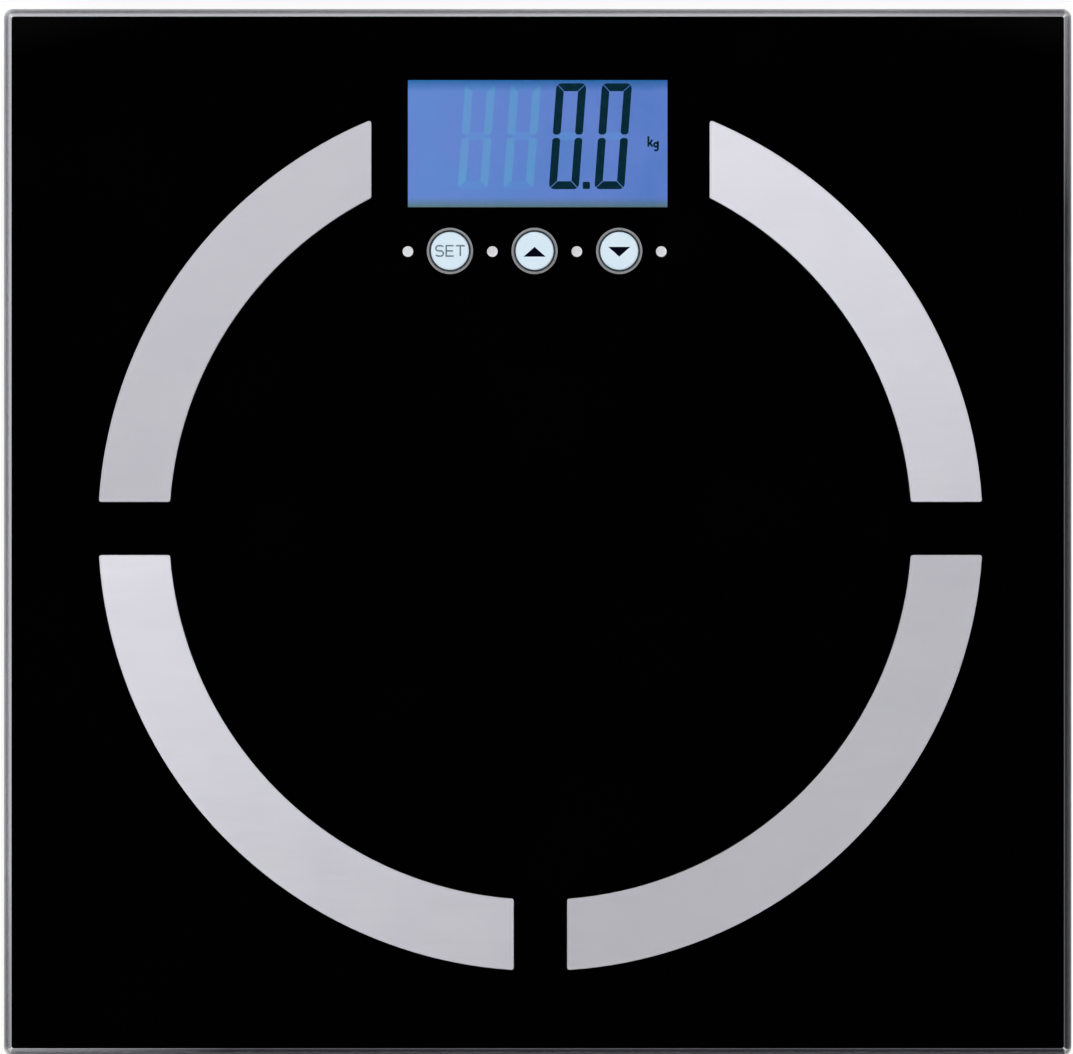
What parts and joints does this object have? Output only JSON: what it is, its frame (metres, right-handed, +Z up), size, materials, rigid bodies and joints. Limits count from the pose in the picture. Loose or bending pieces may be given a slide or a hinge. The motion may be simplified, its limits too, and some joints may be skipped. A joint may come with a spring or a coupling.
{
  "type": "digital bathroom scale",
  "caption": "Slim square body-analyser bathroom scale: glass platform with steel contact arcs, blue backlit display and round keys, on weighing feet.",
  "frame": {"origin": "on the floor under the centre of the platform", "axes": "+X to the user's right, +Y from the heels to the display, +Z up"},
  "size_m": [0.31, 0.304, 0.0247],
  "materials": {
    "clear_glass": "polished tempered glass with ground edges",
    "black_film": "black printed backing film",
    "white_print": "white print",
    "foam_tape": "black double-sided foam tape",
    "contact_steel": "brushed stainless steel",
    "tinned_brass": "plain brass",
    "tray_plastic": "fine-textured black moulding",
    "foot_plastic": "satin black moulding",
    "pad_rubber": "soft grey-black rubber",
    "cell_alloy": "milled alloy plate",
    "gauge_coat": "white silicone coat",
    "clip_plastic": "natural moulding",
    "screw_steel": "zinc-plated steel",
    "board_laminate": "green solder mask",
    "chip_resin": "black potting resin",
    "lcd_glass": "blue backlit liquid crystal display",
    "light_guide": "clear light guide",
    "frame_plastic": "white moulding",
    "zebra_rubber": "layered contact rubber",
    "ring_chrome": "bright trim ring",
    "key_plastic": "pale satin key cap",
    "switch_plastic": "black switch body",
    "plunger_plastic": "switch plunger",
    "cell_steel": "bright nickel-plated can",
    "contact_nickel": "nickel-plated spring steel",
    "wire_red": "red insulation",
    "wire_white": "white insulation",
    "wire_black": "black insulation"
  },
  "bodies": {
    "scale": {"back_film": "black_film", "base_tray": "tray_plastic", "battery_wires": "wire_red", "board_screws": "screw_steel", "cell_side_contacts": "contact_nickel", "cell_springs": "contact_nickel", "clip_screws": "screw_steel", "coin_cells": "cell_steel", "controller_chip": "chip_resin", "dot_marks": "white_print", "electrode_heel_left": "contact_steel", "electrode_heel_right": "contact_steel", "electrode_nuts": "tinned_brass", "electrode_terminals": "tinned_brass", "electrode_toe_left": "contact_steel", "electrode_toe_right": "contact_steel", "electrode_wires": "wire_black", "glass_platform": "clear_glass", "glass_tape": "foam_tape", "key_ring_down": "ring_chrome", "key_ring_set": "ring_chrome", "key_ring_up": "ring_chrome", "key_switches": "switch_plastic", "lcd_backlight": "light_guide", "lcd_frame": "frame_plastic", "lcd_panel": "lcd_glass", "load_cell_clip_heel_left": "clip_plastic", "load_cell_clip_heel_right": "clip_plastic", "load_cell_clip_toe_left": "clip_plastic", "load_cell_clip_toe_right": "clip_plastic", "load_cell_heel_left": "cell_alloy", "load_cell_heel_right": "cell_alloy", "load_cell_toe_left": "cell_alloy", "load_cell_toe_right": "cell_alloy", "load_cell_wires": "wire_white", "main_board": "board_laminate", "strain_gauges": "gauge_coat", "unit_switch": "switch_plastic", "zebra_strips": "zebra_rubber"},
    "key_set": {"key_cap_set": "key_plastic", "switch_plunger_set": "plunger_plastic"},
    "key_up": {"key_cap_up": "key_plastic", "switch_plunger_up": "plunger_plastic"},
    "key_down": {"key_cap_down": "key_plastic", "switch_plunger_down": "plunger_plastic"},
    "foot_toe_left": {"foot_toe_left": "foot_plastic", "foot_pad_toe_left": "pad_rubber"},
    "foot_toe_right": {"foot_toe_right": "foot_plastic", "foot_pad_toe_right": "pad_rubber"},
    "foot_heel_left": {"foot_heel_left": "foot_plastic", "foot_pad_heel_left": "pad_rubber"},
    "foot_heel_right": {"foot_heel_right": "foot_plastic", "foot_pad_heel_right": "pad_rubber"},
    "battery_door": {"battery_door": "tray_plastic"},
    "unit_button": {"unit_button": "foot_plastic", "unit_switch_plunger": "plunger_plastic"}
  },
  "joints": [
    {"name": "key_set_press", "type": "slide", "parent": "scale", "child": "key_set", "axis": [0, 0, -1], "range_m": [0, 0.0005], "stiffness_N_per_m": 3000},
    {"name": "key_up_press", "type": "slide", "parent": "scale", "child": "key_up", "axis": [0, 0, -1], "range_m": [0, 0.0005], "stiffness_N_per_m": 3000},
    {"name": "key_down_press", "type": "slide", "parent": "scale", "child": "key_down", "axis": [0, 0, -1], "range_m": [0, 0.0005], "stiffness_N_per_m": 3000},
    {"name": "foot_toe_left_load", "type": "slide", "parent": "scale", "child": "foot_toe_left", "axis": [0, 0, 1], "range_m": [0, 0.0004], "stiffness_N_per_m": 1100000, "deforming": ["load_cell_toe_left"]},
    {"name": "foot_toe_right_load", "type": "slide", "parent": "scale", "child": "foot_toe_right", "axis": [0, 0, 1], "range_m": [0, 0.0004], "stiffness_N_per_m": 1100000, "deforming": ["load_cell_toe_right"]},
    {"name": "foot_heel_left_load", "type": "slide", "parent": "scale", "child": "foot_heel_left", "axis": [0, 0, 1], "range_m": [0, 0.0004], "stiffness_N_per_m": 1100000, "deforming": ["load_cell_heel_left"]},
    {"name": "foot_heel_right_load", "type": "slide", "parent": "scale", "child": "foot_heel_right", "axis": [0, 0, 1], "range_m": [0, 0.0004], "stiffness_N_per_m": 1100000, "deforming": ["load_cell_heel_right"]},
    {"name": "battery_door_hinge", "type": "hinge", "parent": "scale", "child": "battery_door", "pos_m": [0, 0.0172, 0.0055], "axis": [-1, 0, 0], "range_deg": [0, 90]},
    {"name": "unit_button_press", "type": "slide", "parent": "scale", "child": "unit_button", "axis": [0, 0, 1], "range_m": [0, 0.0003], "stiffness_N_per_m": 5000}
  ]
}
